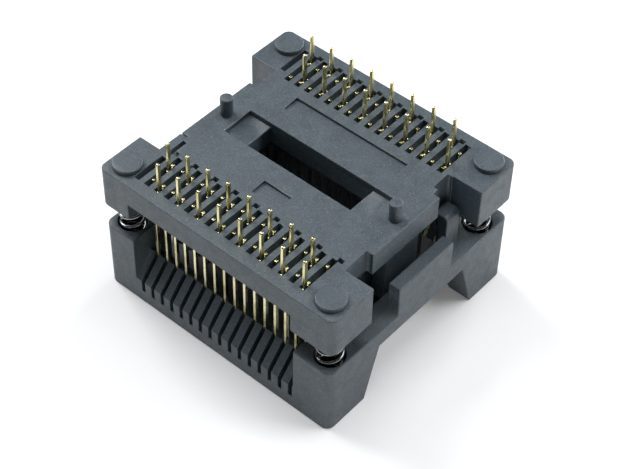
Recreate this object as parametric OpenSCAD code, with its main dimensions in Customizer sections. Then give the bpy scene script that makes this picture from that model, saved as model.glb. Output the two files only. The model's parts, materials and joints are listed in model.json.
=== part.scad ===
// Open-top test socket for a small-outline package, lying face down:
// the cover is at the bottom, the board side with the solder tails is on top.
// Millimetres, +Z up. The origin is the middle of the face that the cover rests on.

/* [Contacts] */
// Contacts in each of the two banks
bank_count = 16; // [8:2:16]
// Distance between neighbouring contacts of a bank
pitch = 1.27; // [1.2:0.01:1.3]
// Distance from the middle to the outer row of solder tails
outer_row_y = 11.43; // [11.2:0.01:11.8]
// Distance between the two rows of tails of a bank
row_step = 2.54; // [2.4:0.01:2.6]
// Thickness of the contact sheet
sheet_t = 0.3; // [0.2:0.01:0.32]
// Width of a solder tail
tail_w = 0.4; // [0.3:0.01:0.5]
// Height of a solder tail above the board face
tail_h = 3.0; // [2:0.1:5]
// Width of the spring arm and of the lever that the cover pushes
arm_w = 0.4; // [0.3:0.01:0.42]

/* [Base] */
// Plan margin from the last contact to the end of the base
end_margin = 4.875; // [4.6:0.005:5.2]
// Plan margin from the outer row of tails to the side of the base
side_margin = 1.92; // [1.85:0.01:2.1]
// Height of the board face above the table
base_top = 15.5; // [15.3:0.1:16]
// Thickness of the deck that holds the contacts
deck_t = 2.65; // [2.5:0.05:2.9]
// Thickness of the corner posts
post_t = 4.65; // [4.5:0.05:4.9]
// Diameter of the standoff bosses
boss_d = 2.95; // [2.4:0.05:3.2]
// Height of the standoff bosses
boss_h = 0.5; // [0.2:0.1:1]
// Diameter of the locating pegs
peg_d = 1.3; // [1:0.05:1.5]
// Height of the locating pegs
peg_h = 2.1; // [1:0.1:3]

/* [Cover] */
// Height of the corner blocks of the cover
cover_h = 8.1; // [7.9:0.1:8.2]
// Height of the end arches
arch_h = 6.1; // [5:0.1:6.3]
// Height of the guide tab above the cover's blocks, at the end without pin one
tab_h = 3.6; // [2:0.1:3.8]

/* [Motion] */
// Distance that the cover travels towards the base
travel = 2.3; // [1.5:0.1:2.3]
// Angle that the contact arms turn over that travel
arm_swing = 8; // [4:0.5:8]

/* [Springs] */
// Outer diameter of a return spring
spring_d = 2.7; // [2.4:0.05:2.8]
// Wire diameter of a return spring
wire_d = 0.3; // [0.26:0.01:0.36]
// Working turns of a return spring
spring_turns = 6.8; // [4:0.1:7.5]

/* [Fits] */
// Gap between a contact and the sides of its slot
slot_clear = 0.06; // [0.04:0.01:0.1]
// Gap between the latch and the base
latch_clear = 0.15; // [0.1:0.01:0.2]
// Gap between a spring and its pocket
spring_clear = 0.15; // [0.1:0.01:0.2]
// Gap between the hub of an arm and the leg that carries it
hub_clear = 0.1; // [0.05:0.01:0.15]

/* [Hidden] */
$fn = 48;
small_fn = 16;             // sides of the smallest rounds
cut = 0.5;                 // how far a cutting tool runs past a face
bite = 0.1;                // how far two shapes of one piece run into each other
row = [for (k = [0:bank_count - 1]) k];

// Plan of the base
inner_row_y = outer_row_y - row_step;
last_x = contact_x(bank_count - 1);
base_x = 2 * (last_x + end_margin);
base_y = 2 * (outer_row_y + side_margin);
bar_lap = 1.09;            // from the inner row of tails to the inner edge of a contact bar
bar_in = inner_row_y - bar_lap;
corner_r = 0.8;
boss_inset_x = 1.9;
boss_inset_y = 1.98;
boss_x = base_x / 2 - boss_inset_x;
boss_y = base_y / 2 - boss_inset_y;
peg_inset = 3.95;
peg_x = base_x / 2 - peg_inset;
plate_inset = 2.55;
plate_x = base_x / 2 - plate_inset;
plate_y = 4.8;
neck_inset = 3.35;         // depth of the corner notches from the ends of the base
neck_x = base_x / 2 - neck_inset;
deck_z = base_top - deck_t;
post_z = base_top - post_t;

// Window over the levers, wider at the end of the first contact
window_past_first = 1.225;
window_past_last = 0.375;
window_relief = 0.43;      // thickness of the lip that stands before the last lever
window_first_x = last_x + window_past_first;
window_last_x = last_x + window_past_last;
wall_t = 1.2;              // thickness of the side wall beside the window

// Contact slots: narrow where they hold a contact, wider towards +X in the board face
slot_w = sheet_t + 2 * slot_clear;
slot_past_inner = 1.44;
slot_past_outer = 0.57;
slot_in = inner_row_y - slot_past_inner;
slot_out = outer_row_y + slot_past_outer;
groove_w = 0.63;
groove_h = 1.2;
spare_slot_cut = 0.85;     // how much shorter the empty slot is at its inner end
spare_slot_h = 0.9;
pit_x = 0.6;               // pits moulded beside the slot ends
pit_y = 0.5;
pit_h = 1.3;
pit_shift = 0.57;          // from a contact to the pit beside it
pit_past_inner = 0.23;
pit_past_outer = 0.05;

// Recesses in the board face
through_x = [-6.4, 6.3];   // ends of the long slot
through_y = 1.85;
end_recess_x = [-9.05, 8.6];
end_recess_h = 0.6;
label_h = 0.3;
label_x = 6.9;
label_y = [4.3, 6.2];
number_x = 1.65;
number_y = [4.3, 6.1];

// Block that fills the notch at the pin-one corner
key_t = 0.7;
key_out = 0.78;            // how far it stands out of the neck
key_gap = 0.15;

// Cover
cover_inset = 0.1;         // how much shorter than the base the cover is at each end
cover_x = base_x / 2 - cover_inset;
cover_y = base_y / 2;
cover_r = 0.9;
cover_wall_x = 2.66;
cover_wall_y = 5.05;
cover_in_x = cover_x - cover_wall_x;
cover_in_y = cover_y - cover_wall_y;
block_past_first = 0.925;  // from the first and the last contact to the corner blocks
block_past_last = 0.325;
rib_foot_z = 2.9;
rib_top_z = 5.35;
rib_slope_y = 2.2;
rib_top_y = cover_y - rib_slope_y;
slot_floor_z = 1.5;
floor_t = 1.2;
cam_t = 1.05;
cam_top_z = 4.75;
cam_clear = 0.05;          // how far the cam stands back from the lever's edge
cam_sink = 0.15;           // how far the pushing edge starts below the lever's end
arch_foot = 8.15;
arch_top = 6.25;
tab_t = 1.35;
tab_y = [-3.75, 4.2];
low_tab_step = 0.5;        // how much lower the tab at the pin-one end is

// Core between the banks
core_past_last = 0.375;    // from the last contact to the outside of the core
core_x = last_x + core_past_last;
core_y = 5.3;
core_wall_x = 1;
core_wall_y = 1.4;
core_in_x = core_x - core_wall_x;
core_in_y = core_y - core_wall_y;
core_z = 10.4;
lug_clear = 0.14;          // between a lug and the cover's end wall
lug_x = cover_in_x - lug_clear;
lug_y = 2.4;
lug_z = 6.9;
lug_gap = 0.1;             // between a lug and the end wall of the nest

// Seating nest
nest_z = 4.9;              // face that the package's leads are pressed against
nest_t = 1.1;
nest_x = 11.3;
nest_y = 7.4;
guide_t = 0.85;
guide_l = 2;
guide_z = 2.6;
guide_lead_in = 0.45;
comb_w = 0.5;
comb_z = [6.6, 9.8];

// Latches
latch_x = neck_x + latch_clear;
latch_t = 1.2;
latch_y = [5.6, 7.6];
latch_top = 12.3;
latch_root = 6.3;
nose = 0.6;
nose_h = 1;
latch_chamfer = 0.35;
catch_l = 1.1;
catch_clear = 0.1;
catch_t = 1;

// Contacts
stem_sink = 1.3;           // from the board face down to the top of the stem
stem_top_z = base_top - stem_sink;
stem_in_gap = 0.3;
stem_out_gap = 0.2;
stem_in = slot_in + stem_in_gap;
stem_out = slot_out - stem_out_gap;
stem_lift = 0.3;           // from the deck's underside to the stem
leg_w = 0.9;
bump_w = 0.3;
bump_sink = 0.15;
bump_top = base_top - bump_sink;
bump_step = 0.5;           // from each tail row to the bright corner beside it
far_bump_shift = 0.15;
root_w = 0.75;
hinge_inset = 1.63;        // from the outer row of tails to the hinge
hinge_y = outer_row_y - hinge_inset;
hinge_z = 11.4;
hub_r = 0.45;
lever_y = rib_top_y - arm_w / 2;
lever_top_z = 10.6;
lever_end_z = 4.9;
lever_bend_r = 0.6;
tip_inset = 0.65;
tip_y = nest_y - tip_inset;
tip_r = 0.3;
tip_gap = 0.15;            // between the tip and the leads' face of the nest
tip_z = nest_z - tip_gap;
hook_z = 4.2;
hook_r = 0.5;
arm_inset = 1.7;
arm_y = hinge_y - arm_inset;
arm_wave = 0.75;           // sideways swell of the spring arm
arm_steps = 10;
arm_end_gap = 0.9;         // from the hook's underside to the end of the swell

// Springs: the two at the near side sit under the bosses, the far ones a little inwards
seat_z = 2;
spigot_d = 1.5;
spigot_h = 1;
coil_start = 37;           // angle at which a spring's wire begins
coil_gap = 0.02;           // between a spring and its seat, and between closed turns
coil_sides = 6;
coil_steps = 16;           // rings in one turn of a spring
dead_turns = 0.75;         // closed turns at each end
spring_far_x = 0.05;
spring_near_y = 0.07;
spring_far_y = 0.77;
spring_places = [
  [-boss_x, spring_near_y - boss_y],
  [boss_x, spring_near_y - boss_y],
  [boss_x - spring_far_x, boss_y - spring_far_y],
  [spring_far_x - boss_x, boss_y - spring_far_y],
];

function contact_x(k) = (k - (bank_count - 1) / 2) * pitch;
function is_odd(k) = k % 2 == 1;

// Unit normal of a path of points at point i
function path_dir(p, i) = let (d = p[min(i + 1, len(p) - 1)] - p[max(i - 1, 0)]) d / norm(d);
function path_side(p, i, w) = let (d = path_dir(p, i)) p[i] + [-d[1], d[0]] * w / 2;
// Outline of a strip of width w that follows a path
function strip(p, w) = concat(
  [for (i = [0:len(p) - 1]) path_side(p, i, w)],
  [for (i = [len(p) - 1:-1:0]) path_side(p, i, -w)]
);
// Points of a round bend
function bend(centre, r, a, b, steps = 4) =
  [for (i = [0:steps]) centre + r * [cos(a + (b - a) * i / steps), sin(a + (b - a) * i / steps)]];

// Path of the spring arm, from the hub to the tip, as [distance from the middle, height]
function arm_path() = concat(
  [for (i = [0:arm_steps]) let (t = i / arm_steps)
    [hinge_y + (arm_y - hinge_y) * t - arm_wave * sin(360 * t) * (1 - t / 2),
     hinge_z + (hook_z + arm_end_gap - hinge_z) * t]],
  bend([arm_y - hook_r, hook_z + hook_r], hook_r, 0, -90),
  bend([tip_y + tip_r, hook_z + tip_r], tip_r, -90, -180),
  [[tip_y, tip_z]]
);

module second_bank() {
  rotate([0, 0, 180]) children();
}

// Turns an outline of [distance from the middle, height] into the near bank, t thick along X
module bank_sheet(x, t) {
  translate([x - t / 2, 0, 0])
    mirror([0, 1, 0])
      rotate([90, 0, 90])
        linear_extrude(t)
          children();
}

module box(x, y, z) {
  translate([x[0], y[0], z[0]])
    cube([x[1] - x[0], y[1] - y[0], z[1] - z[0]]);
}

// A plate whose four corners are rounded
module rounded_plate(x, y, z, r) {
  box([x[0] + r, x[1] - r], y, z);
  box(x, [y[0] + r, y[1] - r], z);
  for (cx = [x[0] + r, x[1] - r])
    for (cy = [y[0] + r, y[1] - r])
      translate([cx, cy, z[0]])
        cylinder(h = z[1] - z[0], r = r);
}

// The bar over the near bank, with the window that shows the levers
module contact_bar() {
  difference() {
    rounded_plate([-base_x / 2, base_x / 2], [-base_y / 2, -bar_in + corner_r],
                  [post_z, base_top], corner_r);
    box([-base_x, base_x], [-bar_in, 0], [post_z - cut, base_top + cut]);
    box([-window_first_x, window_last_x - window_relief], [-base_y, 0], [post_z - cut, deck_z]);
    box([0, window_last_x], [wall_t - base_y / 2, 0], [post_z - cut, deck_z]);
  }
}

module centre_plate() {
  box([-plate_x, plate_x], [-plate_y, plate_y], [deck_z, base_top]);
  box([-neck_x, neck_x], [-bar_in - cut, bar_in + cut], [deck_z, base_top]);
}

// The catch that holds the latch's nose, below the notch of the far right corner
module catch_block() {
  box([neck_x - catch_l, neck_x], [latch_y[0], bar_in + bite],
      [nose_z() - catch_clear - catch_t, deck_z + bite]);
}

function nose_z() = latch_top - nose_h;

// The way of the latch's nose along the neck
module nose_way() {
  box([latch_x - nose - catch_clear, base_x],
      [latch_y[0] - catch_clear, latch_y[1] + catch_clear],
      [nose_z() - catch_clear, base_top + cut]);
}

// A thin block that closes part of the notch at the pin-one corner
module key_block() {
  box([-neck_x - key_out, bite - neck_x], [-bar_in - bite, -plate_y - key_gap],
      [base_top - key_t, base_top]);
}

// Hollow box under the centre plate, with a guide lug at each end that reaches into the cover
module core() {
  difference() {
    box([-core_x, core_x], [-core_y, core_y], [core_z, deck_z + cut]);
    box([-core_in_x, core_in_x], [-core_in_y, core_in_y], [core_z - cut, deck_z]);
  }
  for (side = [0, 180])
    rotate([0, 0, side]) {
      box([core_in_x, lug_x], [-lug_y, lug_y], [core_z, deck_z + cut]);
      box([core_x + lug_gap, lug_x], [-lug_y, lug_y], [lug_z, deck_z + cut]);
    }
}

module bosses_and_pegs() {
  for (x = [-boss_x, boss_x])
    for (y = [-boss_y, boss_y])
      translate([x, y, base_top - cut])
        cylinder(h = boss_h + cut, d = boss_d);
  for (x = [-peg_x, peg_x])
    translate([x, 0, base_top - cut])
      cylinder(h = peg_h + cut, d = peg_d);
}

module spring_spigots() {
  for (place = spring_places)
    translate([place[0], place[1], post_z - spigot_h])
      cylinder(h = spigot_h + cut, d = spigot_d);
}

// Slots and pits of a bank, drawn as the near one. Grooves and pits lie towards wide_side,
// 1 or -1 along X, and one empty groove stands beyond the last contact, at empty_k.
module bank_slots(pit_mid, empty_k, wide_side) {
  for (k = row) {
    box([contact_x(k) - slot_w / 2, contact_x(k) + slot_w / 2], [-slot_out, -slot_in],
        [deck_z - cut, base_top + cut]);
    groove(k, slot_in, groove_h, wide_side);
  }
  groove(empty_k, slot_in + spare_slot_cut, spare_slot_h, wide_side);
  for (k = [-1:2:bank_count - 1])
    translate([contact_x(k) + wide_side * pit_shift, -pit_mid, base_top - pit_h])
      box([-pit_x / 2, pit_x / 2], [-pit_y / 2, pit_y / 2], [0, pit_h + cut]);
}

// Widened top of a slot
module groove(k, inner_end, h, wide_side) {
  translate([contact_x(k) + wide_side * (groove_w - slot_w) / 2, 0, 0])
    box([-groove_w / 2, groove_w / 2], [-slot_out, -inner_end], [base_top - h, base_top + cut]);
}

module face_recesses() {
  box(through_x, [-through_y, through_y], [core_z, base_top + cut]);
  box(end_recess_x, [-through_y, through_y], [base_top - end_recess_h, base_top + cut]);
  box([-label_x, label_x], label_y, [base_top - label_h, base_top + cut]);
  box([-number_x, number_x], -[number_y[1], number_y[0]], [base_top - label_h, base_top + cut]);
}

module base_body() {
  color("#5d6a75")
    difference() {
      union() {
        contact_bar();
        second_bank() contact_bar();
        centre_plate();
        core();
        catch_block();
        second_bank() catch_block();
        bosses_and_pegs();
        spring_spigots();
      }
      nose_way();
      second_bank() nose_way();
      bank_slots(slot_in - pit_past_inner, -1, 1);
      second_bank() bank_slots(slot_out + pit_past_outer, bank_count, -1);
      face_recesses();
    }
  color("#5d6a75")
    key_block();
}

// Frame that the package's leads are pressed against, with the end walls of the core
module seating_nest() {
  color("#4c555c") {
    difference() {
      box([-nest_x, nest_x], [-nest_y, nest_y], [nest_z, nest_z + nest_t]);
      box([-core_in_x, core_in_x], [-core_in_y, core_in_y], [nest_z - cut, nest_z + nest_t + cut]);
    }
    for (side = [0, 180])
      rotate([0, 0, side])
        box([core_in_x, core_x], [-core_in_y, core_in_y], [nest_z + nest_t, core_z]);
    for (sx = [0, 1])
      for (sy = [0, 1])
        mirror([sx, 0, 0])
          mirror([0, sy, 0])
            corner_guide();
  }
}

// Wall whose slots keep the arms of the near bank apart
module near_comb() {
  color("#4c555c")
    difference() {
      box([-core_x, core_x], [-core_y, -core_in_y], [nest_z + nest_t, core_z]);
      for (k = row)
        box([contact_x(k) - comb_w / 2, contact_x(k) + comb_w / 2], [-nest_y, 0], comb_z);
    }
}

module far_comb() {
  second_bank() near_comb();
}

module corner_guide() {
  translate([0, nest_y, 0])
    rotate([90, 0, 0])
      linear_extrude(guide_l)
        polygon([
          [nest_x - guide_t, nest_z + nest_t],
          [nest_x - guide_t, guide_z + 2 * guide_lead_in],
          [nest_x - guide_t + guide_lead_in, guide_z],
          [nest_x, guide_z],
          [nest_x, nest_z + nest_t],
        ]);
}

// Near long side of the cover between the blocks: floor, cam ridge and sloping ribs
module comb_side() {
  difference() {
    translate([-last_x - block_past_first - cut, 0, 0])
      mirror([0, 1, 0])
        rotate([90, 0, 90])
          linear_extrude(2 * (last_x + cut) + block_past_first + block_past_last)
            polygon([
              [cover_in_y, 0],
              [cover_y, 0],
              [cover_y, rib_foot_z],
              [rib_top_y, rib_top_z],
              [rib_top_y, cam_top_z],
              [rib_top_y - cam_t, cam_top_z],
              [rib_top_y - cam_t, floor_t],
              [cover_in_y, floor_t],
            ]);
    for (k = row)
      bank_sheet(contact_x(k), slot_w)
        polygon([
          [cam_end_y(), slot_floor_z],
          [cam_end_y(), cam_end_z()],
          [lever_y - arm_w / 2 - cam_clear, cam_top_z],
          [lever_y - arm_w / 2 - cam_clear, rib_top_z + cut],
          [cover_y + cut, rib_top_z + cut],
          [cover_y + cut, slot_floor_z],
        ]);
  }
}

// The cam follows the lever's inner corner to the end of the travel
function lever_corner() = [lever_y - arm_w / 2 - hinge_y, lever_end_z - hinge_z];
function cam_end_y() =
  hinge_y + lever_corner()[0] * cos(arm_swing) - lever_corner()[1] * sin(arm_swing) - cam_clear;
function cam_end_z() =
  hinge_z + lever_corner()[1] * cos(arm_swing) + lever_corner()[0] * sin(arm_swing)
    - travel - cam_sink;

module cover_blocks() {
  difference() {
    rounded_plate([-cover_x, cover_x], [-cover_y, cover_y], [0, cover_h], cover_r);
    box([-cover_in_x, cover_in_x], [-cover_in_y, cover_in_y], [-cut, cover_h + cut]);
    for (side = [0, 180])
      rotate([0, 0, side])
        box([-last_x - block_past_first, last_x + block_past_last], [-base_y, 0],
            [-cut, cover_h + cut]);
  }
}

module end_arch() {
  translate([cover_in_x - cut, 0, 0])
    rotate([90, 0, 90])
      linear_extrude(cover_wall_x + 2 * cut)
        polygon([
          [-arch_foot - cut * (arch_foot - arch_top) / arch_h, -cut],
          [-arch_top, arch_h],
          [arch_top, arch_h],
          [arch_foot + cut * (arch_foot - arch_top) / arch_h, -cut],
        ]);
}

module guide_tab(h) {
  box([cover_x - tab_t, cover_x], tab_y, [cover_h - cut, cover_h + h]);
}

// Hooked post that stands on the end wall at the far right corner
module latch() {
  translate([0, latch_y[1], 0])
    rotate([90, 0, 0])
      linear_extrude(latch_y[1] - latch_y[0])
        polygon([
          [latch_x, latch_root],
          [latch_x + latch_t, latch_root],
          [latch_x + latch_t, latch_top - latch_chamfer],
          [latch_x + latch_t - latch_chamfer, latch_top],
          [latch_x - nose + latch_chamfer, latch_top],
          [latch_x - nose, latch_top - latch_chamfer],
          [latch_x - nose, nose_z()],
          [latch_x, nose_z()],
        ]);
}

module cover() {
  color("#5a666f")
    difference() {
      union() {
        cover_blocks();
        comb_side();
        second_bank() comb_side();
        guide_tab(tab_h);
        second_bank() guide_tab(tab_h - low_tab_step);
        latch();
        second_bank() latch();
      }
      end_arch();
      second_bank() end_arch();
      for (place = spring_places)
        translate([place[0], place[1], seat_z])
          cylinder(h = cover_h, d = spring_d + 2 * spring_clear);
    }
}

// The fixed part of a contact: a leg, the body in its slot, and one solder tail
module contact_stem(outer_tail, bump_shift) {
  tail_y = outer_tail ? outer_row_y : inner_row_y;
  translate([stem_in, deck_z + stem_lift])
    square([stem_out - stem_in, stem_top_z - deck_z - stem_lift]);
  translate([hinge_y - leg_w / 2, hinge_z + hub_r + hub_clear])
    square([leg_w, deck_z - hinge_z - hub_r - hub_clear + stem_lift + bite]);
  for (y = [outer_row_y, inner_row_y])
    translate([y - bump_step - bump_w / 2 - bump_shift, stem_top_z - bite])
      square([bump_w, bump_top - stem_top_z + bite]);
  translate([tail_y - root_w / 2, stem_top_z - bite])
    square([root_w, bump_top - stem_top_z - bite]);
  translate([tail_y - tail_w / 2, stem_top_z])
    square([tail_w, base_top + tail_h - tail_w / 2 - stem_top_z]);
  translate([tail_y, base_top + tail_h - tail_w / 2])
    circle(d = tail_w, $fn = small_fn);
}

module near_contact(k) {
  color("#b9a14a")
    bank_sheet(contact_x(k), sheet_t)
      contact_stem(is_odd(k), 0);
}

module far_contact(k) {
  color("#b9a14a")
    second_bank()
      bank_sheet(-contact_x(k), sheet_t)
        contact_stem(!is_odd(k), far_bump_shift);
}

// The moving part of a contact: hub, lever for the cover's cam, and spring arm
module contact_arm() {
  translate([hinge_y, hinge_z])
    circle(r = hub_r, $fn = 2 * small_fn);
  polygon(strip(concat(
    [[hinge_y, hinge_z]],
    bend([lever_y - lever_bend_r, lever_top_z], lever_bend_r, 90, 0),
    [[lever_y, lever_end_z]]), arm_w));
  polygon(strip(arm_path(), arm_w));
}

module near_contact_arms() {
  color("#c2a850")
    for (k = row)
      bank_sheet(contact_x(k), sheet_t)
        contact_arm();
}

module far_contact_arms() {
  second_bank() near_contact_arms();
}

// Height of a spring's centre line after t turns, closed at both ends
function coil_z(t, low, high) =
  let (dead = dead_turns, live = spring_turns, step = wire_d + coil_gap)
  t < dead ? low + step * t
  : t > dead + live ? high - step * (2 * dead + live - t)
  : low + step * dead + (high - low - 2 * step * dead) * (t - dead) / live;

module return_spring(x, y) {
  r = (spring_d - wire_d) / 2;
  low = seat_z + wire_d / 2 + coil_gap;
  high = post_z - wire_d / 2 - coil_gap;
  rings = ceil((spring_turns + 2 * dead_turns) * coil_steps);
  points = [for (i = [0:rings]) let (t = i / coil_steps, z = coil_z(t, low, high))
    for (j = [0:coil_sides - 1]) let (a = 360 * j / coil_sides, rr = r + wire_d / 2 * cos(a))
      [rr * cos(360 * t + coil_start), rr * sin(360 * t + coil_start), z + wire_d / 2 * sin(a)]];
  skin = [for (i = [0:rings - 1]) for (j = [0:coil_sides - 1])
    let (a = i * coil_sides + j, b = i * coil_sides + (j + 1) % coil_sides)
      each [[a, a + coil_sides, b + coil_sides], [a, b + coil_sides, b]]];
  last = rings * coil_sides;
  ends = [
    [for (j = [0:coil_sides - 1]) j],
    [for (j = [coil_sides - 1:-1:0]) last + j],
  ];
  color("silver")
    translate([x, y, 0])
      polyhedron(points, concat(skin, ends));
}

base_body();
seating_nest();
near_comb();
far_comb();
cover();
for (k = row) {
  near_contact(k);
  far_contact(k);
}
near_contact_arms();
far_contact_arms();
for (i = [0:3])
  return_spring(spring_places[i][0], spring_places[i][1]);
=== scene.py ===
import json
import math

import bmesh
import bpy
from mathutils import Matrix, Vector


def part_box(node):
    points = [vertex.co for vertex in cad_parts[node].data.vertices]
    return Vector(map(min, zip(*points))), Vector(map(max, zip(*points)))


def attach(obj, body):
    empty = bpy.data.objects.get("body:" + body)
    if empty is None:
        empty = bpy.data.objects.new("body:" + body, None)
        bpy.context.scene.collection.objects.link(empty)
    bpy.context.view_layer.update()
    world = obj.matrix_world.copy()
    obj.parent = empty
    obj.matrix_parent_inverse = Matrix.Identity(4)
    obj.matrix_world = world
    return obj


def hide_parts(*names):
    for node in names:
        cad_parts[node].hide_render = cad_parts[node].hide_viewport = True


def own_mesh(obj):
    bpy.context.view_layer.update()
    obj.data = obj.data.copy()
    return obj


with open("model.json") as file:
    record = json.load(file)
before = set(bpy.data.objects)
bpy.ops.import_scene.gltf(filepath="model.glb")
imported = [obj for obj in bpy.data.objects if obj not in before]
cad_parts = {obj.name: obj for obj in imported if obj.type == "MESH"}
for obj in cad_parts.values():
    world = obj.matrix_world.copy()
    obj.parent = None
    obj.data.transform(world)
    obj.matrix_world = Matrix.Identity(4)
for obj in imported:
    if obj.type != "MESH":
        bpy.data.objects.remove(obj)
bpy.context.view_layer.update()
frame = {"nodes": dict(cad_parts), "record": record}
mm = 0.001
print("frame loaded")


def emptyTree(owner):
    owner.use_nodes = True
    owner.node_tree.nodes.clear()
    return owner.node_tree


def newMaterial(name):
    mat = bpy.data.materials.new(name)
    tree = emptyTree(mat)
    out = tree.nodes.new("ShaderNodeOutputMaterial")
    shader = tree.nodes.new("ShaderNodeBsdfPrincipled")
    tree.links.new(shader.outputs["BSDF"], out.inputs["Surface"])
    return mat, tree, shader


def grey(value):
    return (value, value, value)


def shaded(colour, share):
    return tuple(value * share for value in colour)


def objectNoise(tree, layer):
    coord = tree.nodes.new("ShaderNodeTexCoord")
    mapping = tree.nodes.new("ShaderNodeMapping")
    mapping.inputs["Scale"].default_value = layer.get("stretch", (1, 1, 1))
    noise = tree.nodes.new("ShaderNodeTexNoise")
    noise.inputs["Scale"].default_value = layer["scale"]
    noise.inputs["Detail"].default_value = layer["detail"]
    noise.inputs["Roughness"].default_value = layer.get("rough", 0.5)
    tree.links.new(coord.outputs["Object"], mapping.inputs["Vector"])
    tree.links.new(mapping.outputs["Vector"], noise.inputs["Vector"])
    return noise.outputs["Fac"]


def noiseRamp(tree, layer, low, high):
    # the noise runs from colour low to colour high between the layer's two stops
    node = tree.nodes.new("ShaderNodeValToRGB")
    for element, place, colour in zip(node.color_ramp.elements, layer["stops"], (low, high)):
        element.position = place
        element.color = (*colour, 1)
    tree.links.new(objectNoise(tree, layer), node.inputs["Fac"])
    return node.outputs["Color"]


def mixColour(tree, factor, first, second):
    # input 0 is the factor, inputs 6 and 7 and output 2 are the colour ones
    node = tree.nodes.new("ShaderNodeMix")
    node.data_type = "RGBA"
    tree.links.new(factor, node.inputs[0])
    for socket, value in ((node.inputs[6], first), (node.inputs[7], second)):
        if isinstance(value, tuple):
            socket.default_value = (*value, 1)
        else:
            tree.links.new(value, socket)
    return node.outputs[2]


def nodeMath(tree, operation, first, second=0.0):
    node = tree.nodes.new("ShaderNodeMath")
    node.operation = operation
    for socket, value in ((node.inputs[0], first), (node.inputs[1], second)):
        if isinstance(value, float):
            socket.default_value = value
        else:
            tree.links.new(value, socket)
    return node.outputs[0]


def zeroToOne(tree, value):
    return nodeMath(tree, "MINIMUM", nodeMath(tree, "MAXIMUM", value, 0.0), 1.0)


def patchyRoughness(tree, shader, look):
    rough = noiseRamp(tree, look["sheen"], grey(look["rough"][0]), grey(look["rough"][1]))
    tree.links.new(rough, shader.inputs["Roughness"])


def grainBump(tree, shader, grain):
    bump = tree.nodes.new("ShaderNodeBump")
    bump.inputs["Strength"].default_value = grain["strength"]
    bump.inputs["Distance"].default_value = grain["depth"]
    tree.links.new(objectNoise(tree, grain), bump.inputs["Height"])
    tree.links.new(bump.outputs["Normal"], shader.inputs["Normal"])


plasticLook = {
    "base": (0.032, 0.051, 0.066),
    "dark": (0.025, 0.041, 0.054),
    "speck": (0.120, 0.155, 0.178),
    "ior": 1.70,
    "rough": (0.44, 0.60),
    "flow": {"scale": 260, "detail": 3, "stops": (0.32, 0.62)},
    "fibre": {"scale": 9500, "detail": 1.0, "stops": (0.50, 0.72), "amount": 0.55},
    "fleck": {"scale": 5200, "detail": 1.5, "stops": (0.60, 0.72), "amount": 0.45},
    "sheen": {"scale": 900, "detail": 3, "stops": (0.3, 0.7)},
    "grain": {"scale": 4200, "detail": 3, "rough": 0.6, "strength": 0.35, "depth": 0.06 * mm},
}
# the nest and comb walls are darkened to 0.45 as painted shade inside the socket; the cover is
# 0.96 of the base's colour
plasticToneAndPaintedShade = {"base": 1.0, "cover": 0.96, "nest": 0.45}


def mouldedPlastic(name, look, shade):
    mat, tree, shader = newMaterial(name)
    base, dark, speck = (shaded(look[key], shade) for key in ("base", "dark", "speck"))
    colour = noiseRamp(tree, look["flow"], dark, base)
    for layer in (look["fibre"], look["fleck"]):
        share = noiseRamp(tree, layer, grey(0.0), grey(layer["amount"]))
        colour = mixColour(tree, share, colour, speck)
    tree.links.new(colour, shader.inputs["Base Color"])
    patchyRoughness(tree, shader, look)
    shader.inputs["IOR"].default_value = look["ior"]
    grainBump(tree, shader, look["grain"])
    return mat


goldLook = {
    "bright": (0.80, 0.74, 0.43),
    "tarnish": (0.42, 0.37, 0.16),
    "rough": (0.16, 0.34),
    "patch": {"scale": 420, "detail": 4, "stops": (0.30, 0.55)},
    "sheen": {"scale": 1500, "detail": 3, "stretch": (1, 1, 0.25), "stops": (0.3, 0.7)},
    "grain": {"scale": 2600, "detail": 2, "stretch": (1, 1, 0.2), "strength": 0.12,
              "depth": 0.04 * mm},
}
# painted light: the levers get a brighter copy of the contact gold, standing in for the light
# falling on them
leverLitLook = {**goldLook, "bright": (0.93, 0.88, 0.57)}


def platedGold(name, look):
    mat, tree, shader = newMaterial(name)
    colour = noiseRamp(tree, look["patch"], look["tarnish"], look["bright"])
    tree.links.new(colour, shader.inputs["Base Color"])
    patchyRoughness(tree, shader, look)
    shader.inputs["Metallic"].default_value = 1.0
    grainBump(tree, shader, look["grain"])
    return mat


wireLook = {
    "base": (0.34, 0.35, 0.36),
    "dullShare": 0.75,
    "rough": (0.12, 0.24),
    "patch": {"scale": 900, "detail": 3, "stops": (0.3, 0.6)},
    "sheen": {"scale": 2200, "detail": 2, "stops": (0.3, 0.7)},
}


def drawnWire(name, look):
    mat, tree, shader = newMaterial(name)
    dull = shaded(look["base"], look["dullShare"])
    colour = noiseRamp(tree, look["patch"], dull, look["base"])
    tree.links.new(colour, shader.inputs["Base Color"])
    patchyRoughness(tree, shader, look)
    shader.inputs["Metallic"].default_value = 1.0
    return mat


basePlastic = mouldedPlastic("basePlastic", plasticLook, plasticToneAndPaintedShade["base"])
coverPlastic = mouldedPlastic("coverPlastic", plasticLook, plasticToneAndPaintedShade["cover"])
# painted shade: the nest and comb walls are darkened to stand in for the shade inside the socket
nestPaintedShadePlastic = mouldedPlastic("nestPaintedShadePlastic", plasticLook, plasticToneAndPaintedShade["nest"])
contactGold = platedGold("contactGold", goldLook)
# the levers' gold is the brighter copy, painted light
leverLitGold = platedGold("leverLitGold", leverLitLook)
springWire = drawnWire("springWire", wireLook)
print("materials made")


def addObject(name, data):
    thing = bpy.data.objects.new(name, data)
    bpy.context.scene.collection.objects.link(thing)
    return thing


def addMesh(name, shape, material):
    mesh = bpy.data.meshes.new(name)
    shape.to_mesh(mesh)
    shape.free()
    mesh.materials.append(material)
    return addObject(name, mesh)


# merge distance in metres, angles in degrees
meshCare = {
    "merge": 1e-6,
    "flat": 0.6,
    "joinFace": 1,
    "joinShape": 180,
    "sharp": 30,
    "normalWeight": 80,
}

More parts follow.
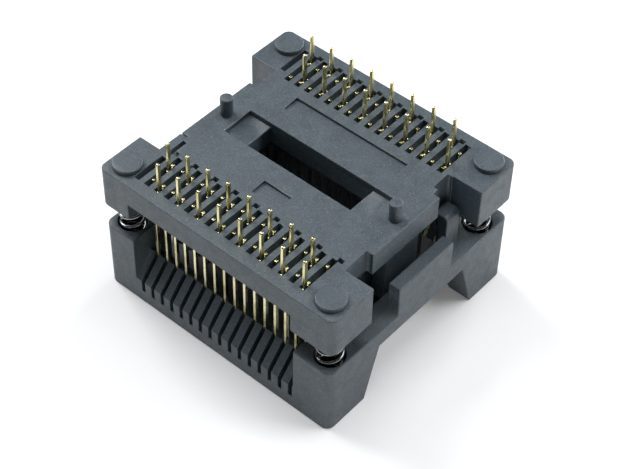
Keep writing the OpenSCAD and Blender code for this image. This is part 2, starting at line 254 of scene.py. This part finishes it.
# small features get finer edges: (low corner, high corner) in millimetres, mirrored to both banks
fineZones = {
    "base_body": ((-12.0, 4.85, 12.6), (11.2, 12.45, 15.6)),
    "cover": ((-10.2, 8.6, 1.4), (9.7, 13.4, 5.4)),
}
fineShare = 0.4


def edgeWeight(node, edge):
    middle = (edge.verts[0].co + edge.verts[1].co) / 2 / mm
    zone = fineZones.get(node)
    if zone:
        spot = (middle.x, abs(middle.y), middle.z)
        if all(low < value < high for low, value, high in zip(zone[0], spot, zone[1])):
            return fineShare
    return 1.0


# the solids' base has a stray pit that cuts its far right boss: all in millimetres but the share
strayPit = {
    "low": (11.0, 11.78, 14.0),
    "high": (11.7, 12.32, 16.1),
    "boss": (12.5, 11.37),
    "bossHeight": 0.5,
    "rimDepth": 0.1,
    "innerShare": 0.95,
}


def closePit(shape, pit):
    def inside(vert):
        spans = zip(pit["low"], vert.co, pit["high"])
        return all(low < value / mm < high for low, value, high in spans)

    def openEdges():
        return [edge for edge in shape.edges
                if edge.is_boundary and all(inside(vert) for vert in edge.verts)]

    faces = [face for face in shape.faces if all(inside(vert) for vert in face.verts)]
    bmesh.ops.delete(shape, geom=faces, context="FACES")
    bossTop = max(vert.co.z for vert in shape.verts if inside(vert))
    rimFloor = bossTop - pit["rimDepth"] * mm
    rim = [edge for edge in openEdges() if min(vert.co.z for vert in edge.verts) > rimFloor]

    # the notch's inner corners move out onto the arc between its ends
    notch = sorted({vert for edge in rim for vert in edge.verts},
                   key=lambda vert: (vert.co.y, vert.co.x))
    centre = Vector((*pit["boss"], 0)) * mm
    centre.z = bossTop
    arcEnd = min(notch[2:], key=lambda vert: vert.co.x)
    first, last = notch[0].co - centre, arcEnd.co - centre
    swing = first.xy.angle_signed(last.xy)
    innerReach = pit["innerShare"] * first.length
    inner = sorted((vert for vert in notch if (vert.co - centre).length < innerReach),
                   key=lambda vert: vert.co.y)
    for count, vert in enumerate(inner, 1):
        turn = Matrix.Rotation(-swing * count / (len(inner) + 1), 3, "Z")
        vert.co = centre + turn @ first

    # the rim drops to the deck, and the hole left in the deck is filled
    walls = bmesh.ops.extrude_edge_only(shape, edges=rim)["geom"]
    foot = [item for item in walls if isinstance(item, bmesh.types.BMVert)]
    bmesh.ops.translate(shape, vec=(0, 0, -pit["bossHeight"] * mm), verts=foot)
    near = [vert for vert in shape.verts if inside(vert)]
    bmesh.ops.remove_doubles(shape, verts=near, dist=meshCare["merge"])
    bmesh.ops.holes_fill(shape, edges=openEdges(), sides=0)
    bmesh.ops.recalc_face_normals(shape, faces=shape.faces)


def cleanShape(node):
    shape = bmesh.new()
    shape.from_mesh(frame["nodes"][node].data)
    bmesh.ops.remove_doubles(shape, verts=shape.verts, dist=meshCare["merge"])
    if node == "base_body":
        closePit(shape, strayPit)
    bmesh.ops.dissolve_degenerate(shape, edges=shape.edges, dist=meshCare["merge"])
    bmesh.ops.dissolve_limit(shape, angle_limit=math.radians(meshCare["flat"]),
                             use_dissolve_boundaries=False, verts=shape.verts,
                             edges=shape.edges, delimit=set())
    bmesh.ops.triangulate(shape, faces=shape.faces, quad_method="BEAUTY", ngon_method="BEAUTY")
    bmesh.ops.join_triangles(shape, faces=shape.faces,
                             angle_face_threshold=math.radians(meshCare["joinFace"]),
                             angle_shape_threshold=math.radians(meshCare["joinShape"]))
    return shape


def markEdges(node, shape):
    # outer edges are rounded, inner ones stay sharp
    weight = shape.edges.layers.float.new("bevel_weight_edge")
    for edge in shape.edges:
        if edge.calc_face_angle(0) > math.radians(meshCare["sharp"]):
            edge[weight] = edgeWeight(node, edge) if edge.is_convex else 0.0
            edge.smooth = edge.is_convex
    for face in shape.faces:
        face.smooth = True


edgeLooks = {
    "housing": {"width": 0.12 * mm, "steps": 3},
    "nest": {"width": 0.06 * mm, "steps": 2},
    "comb": {"width": 0.06 * mm, "steps": 1},
    "metal": {"width": 0.04 * mm, "steps": 2},
}


def roundEdges(piece, look):
    rounded = piece.modifiers.new("rounded", "BEVEL")
    rounded.limit_method = "WEIGHT"
    rounded.width = look["width"]
    rounded.segments = look["steps"]
    rounded.use_clamp_overlap = False
    rounded.loop_slide = False
    weighted = piece.modifiers.new("weighted", "WEIGHTED_NORMAL")
    weighted.keep_sharp = True
    weighted.weight = meshCare["normalWeight"]


def bodyOf(node):
    for body, nodes in frame["record"]["behaviour"]["bodies"].items():
        if node in nodes:
            return body


def dress(node, name, edges, material):
    shape = cleanShape(node)
    markEdges(node, shape)
    piece = addMesh(name, shape, material)
    roundEdges(piece, edgeLooks[edges])
    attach(piece, bodyOf(node))
    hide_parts(node)


dress("base_body", "base_shell", "housing", basePlastic)
dress("cover", "cover_shell", "housing", coverPlastic)
dress("seating_nest", "nest_frame", "nest", nestPaintedShadePlastic)
for bank in ("near", "far"):
    dress(f"{bank}_comb", f"{bank}_comb_wall", "comb", nestPaintedShadePlastic)
print("plastic parts dressed")

bankCount = 16

for bank in ("near", "far"):
    for k in range(1, bankCount + 1):
        dress(f"{bank}_contact_{k}", f"{bank}_stem_{k}", "metal", contactGold)
    dress(f"{bank}_contact_arms", f"{bank}_levers", "metal", leverLitGold)
print("contacts dressed")

# the dead turns at each end nearly touch: their pitch is in wire radii, the start angle in degrees
springSet = {
    "count": 4,
    "wireRadius": 0.15 * mm,
    "turns": 6.8,
    "deadTurns": 0.75,
    "deadPitch": 2.05,
    "startAngle": 37,
    "steps": 32,
    "sides": 12,
    "merge": 1e-7,
    "travel": 2.3 * mm,
}


def windCoil(look, bottom, radius, rise):
    r = look["wireRadius"]
    shape = bmesh.new()
    circle = bmesh.ops.create_circle(shape, cap_ends=False, radius=r, segments=look["sides"])
    ring = circle["verts"]
    upright = Matrix.Rotation(math.radians(90), 4, "X")
    start = Matrix.Rotation(math.radians(look["startAngle"]), 3, "Z")
    bmesh.ops.transform(shape, matrix=upright, verts=ring)
    bmesh.ops.translate(shape, vec=bottom + Vector((radius, 0, 0)), verts=ring)
    bmesh.ops.rotate(shape, cent=bottom, matrix=start, verts=ring)

    deadRise = look["deadPitch"] * r * look["deadTurns"]
    dead = (look["deadTurns"], deadRise)
    edges = list(shape.edges)
    ends = [edges]
    for turns, lift in (dead, (look["turns"], rise - 2 * deadRise), dead):
        count = int(turns * look["steps"])
        result = bmesh.ops.spin(shape, geom=edges, cent=bottom, axis=(0, 0, 1),
                                dvec=(0, 0, lift / count), angle=math.radians(360 * turns),
                                steps=count, use_merge=False)
        edges = [item for item in result["geom_last"] if isinstance(item, bmesh.types.BMEdge)]
    ends.append(edges)
    for loop in ends:
        bmesh.ops.holes_fill(shape, edges=loop, sides=0)
    bmesh.ops.remove_doubles(shape, verts=shape.verts, dist=look["merge"])
    bmesh.ops.recalc_face_normals(shape, faces=shape.faces)
    for face in shape.faces:
        face.smooth = len(face.verts) == 4
    return shape


def coil(node, name, look):
    low, high = (Vector(c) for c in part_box(node))
    centre = (low + high) / 2
    r = look["wireRadius"]
    bottom = Vector((centre.x, centre.y, low.z + r))
    shape = windCoil(look, bottom, (high.x - low.x) / 2 - r, high.z - low.z - 2 * r)
    piece = addMesh(name, shape, springWire)
    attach(piece, "cover")
    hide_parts(node)
    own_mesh(piece)


for k in range(1, springSet["count"] + 1):
    coil(f"return_spring_{k}", f"spring_coil_{k}", springSet)
print("springs wound")

cameraSet = {
    "place": (71.67 * mm, -84.33 * mm, 125.07 * mm),
    "back": (0.4383, -0.5205, 0.7328),
    "roll": 1.241,
    "lens": 95.85,
    "sensor": 36,
    "clip": (0.005, 20),
}


def addCamera(look):
    data = bpy.data.cameras.new("camera")
    data.lens = look["lens"]
    data.sensor_width = look["sensor"]
    data.clip_start, data.clip_end = look["clip"]
    back = Vector(look["back"]).normalized()
    right = Vector((0, 0, 1)).cross(back).normalized()
    up = back.cross(right)
    roll = math.radians(look["roll"])
    rolledRight = right * math.cos(roll) + up * math.sin(roll)
    rolledUp = up * math.cos(roll) - right * math.sin(roll)
    turn = Matrix((rolledRight, rolledUp, back)).transposed().to_4x4()
    camera = addObject("camera", data)
    camera.matrix_world = Matrix.Translation(Vector(look["place"])) @ turn
    bpy.context.scene.camera = camera


addCamera(cameraSet)

# the table's size is in metres, the socket's footprint of painted shade and the far table are in
# millimetres
floorLook = {
    "size": 3.0,
    "colour": (0.88, 0.89, 0.90),
    # the dark colour painted under the socket as shade
    "shade": (0.10, 0.10, 0.11),
    "lift": 0.12,
    "left": 15.5,
    "right": 11.5,
    "side": 10.5,
    "fade": 2.5,
    "farStart": 90,
    "farFade": 260,
}


def outsidePaintedShade(tree, place, look):
    # 0 under the socket, where the table is painted in shade, 1 on the open table round it
    split = tree.nodes.new("ShaderNodeSeparateXYZ")
    tree.links.new(place, split.inputs[0])
    across, along = split.outputs[0], nodeMath(tree, "ABSOLUTE", split.outputs[1])
    pastRight = nodeMath(tree, "SUBTRACT", across, look["right"] * mm)
    pastLeft = nodeMath(tree, "SUBTRACT", -look["left"] * mm, across)
    pastSide = nodeMath(tree, "SUBTRACT", along, look["side"] * mm)
    pastEnd = nodeMath(tree, "MAXIMUM", pastRight, pastLeft)
    reach = nodeMath(tree, "MAXIMUM", pastEnd, pastSide)
    share = nodeMath(tree, "DIVIDE", reach, look["fade"] * mm)
    return zeroToOne(tree, nodeMath(tree, "ADD", share, 1.0))


def farTable(tree, place, look):
    # 0 round the socket, 1 where the lamps no longer reach the table
    length = tree.nodes.new("ShaderNodeVectorMath")
    length.operation = "LENGTH"
    tree.links.new(place, length.inputs[0])
    past = nodeMath(tree, "SUBTRACT", length.outputs["Value"], look["farStart"] * mm)
    return zeroToOne(tree, nodeMath(tree, "DIVIDE", past, look["farFade"] * mm))


def paleFloor(look):
    mat = bpy.data.materials.new("paleFloor")
    tree = emptyTree(mat)
    out = tree.nodes.new("ShaderNodeOutputMaterial")
    diffuse = tree.nodes.new("ShaderNodeBsdfDiffuse")
    glow = tree.nodes.new("ShaderNodeEmission")
    total = tree.nodes.new("ShaderNodeAddShader")
    place = tree.nodes.new("ShaderNodeTexCoord").outputs["Object"]
    unshadedTable = outsidePaintedShade(tree, place, look)
    # painted shade: under the socket the table turns dark and gets no lift
    surface = mixColour(tree, unshadedTable, look["shade"], look["colour"])
    tree.links.new(surface, diffuse.inputs["Color"])
    path = tree.nodes.new("ShaderNodeLightPath").outputs
    mirrored = nodeMath(tree, "MAXIMUM", path["Is Glossy Ray"], path["Is Transmission Ray"])
    seen = nodeMath(tree, "MAXIMUM", path["Is Camera Ray"], mirrored)
    near = nodeMath(tree, "MULTIPLY", unshadedTable, look["lift"])
    lift = nodeMath(tree, "MAXIMUM", near, farTable(tree, place, look))
    tree.links.new(nodeMath(tree, "MULTIPLY", lift, seen), glow.inputs["Strength"])
    tree.links.new(diffuse.outputs[0], total.inputs[0])
    tree.links.new(glow.outputs[0], total.inputs[1])
    tree.links.new(total.outputs[0], out.inputs["Surface"])
    return mat


def addFloor(look):
    shape = bmesh.new()
    bmesh.ops.create_grid(shape, x_segments=1, y_segments=1, size=look["size"] / 2)
    floor = addMesh("floor", shape, paleFloor(look))


addFloor(floorLook)

# places and sizes in metres
lampSet = {
    "left": {"place": (-0.318, 0.0, 0.318), "size": (0.25, 0.25), "watt": 1.60},
    "back": {"place": (0.0, 0.428, 0.139), "size": (0.20, 0.20), "watt": 1.15},
    "backRight": {"place": (0.225, 0.225, 0.318), "size": (0.25, 0.25), "watt": 0.90},
    "lowRight": {"place": (0.26, 0.17, 0.06), "size": (0.15, 0.10), "watt": 0.05},
    "overhead": {"place": (0.0, 0.0, 0.45), "size": (0.30, 0.30), "watt": 0.80},
}
lampTarget = (0, 0, 0.008)


def addLamp(name, lamp):
    data = bpy.data.lights.new(name, "AREA")
    data.shape = "RECTANGLE"
    data.size, data.size_y = lamp["size"]
    data.energy = lamp["watt"]
    place = Vector(lamp["place"])
    aim = Vector(lampTarget) - place
    turn = aim.to_track_quat("-Z", "Y").to_matrix().to_4x4()
    light = addObject(name, data)
    light.matrix_world = Matrix.Translation(place) @ turn


for name, lamp in lampSet.items():
    addLamp(name, lamp)

worldLook = {"sky": (0.93, 0.96, 1.0), "strength": 0.06}


def addWorld(look):
    world = bpy.data.worlds.new("studio")
    tree = emptyTree(world)
    out = tree.nodes.new("ShaderNodeOutputWorld")
    sky = tree.nodes.new("ShaderNodeBackground")
    sky.inputs["Color"].default_value = (*look["sky"], 1)
    path = tree.nodes.new("ShaderNodeLightPath").outputs
    seen = nodeMath(tree, "MAXIMUM", path["Is Camera Ray"], path["Is Transmission Ray"])
    strength = nodeMath(tree, "MAXIMUM", seen, look["strength"])
    tree.links.new(strength, sky.inputs["Strength"])
    tree.links.new(sky.outputs[0], out.inputs["Surface"])
    bpy.context.scene.world = world


addWorld(worldLook)
bpy.context.scene.view_settings.view_transform = "Standard"
print("camera, floor and light placed")
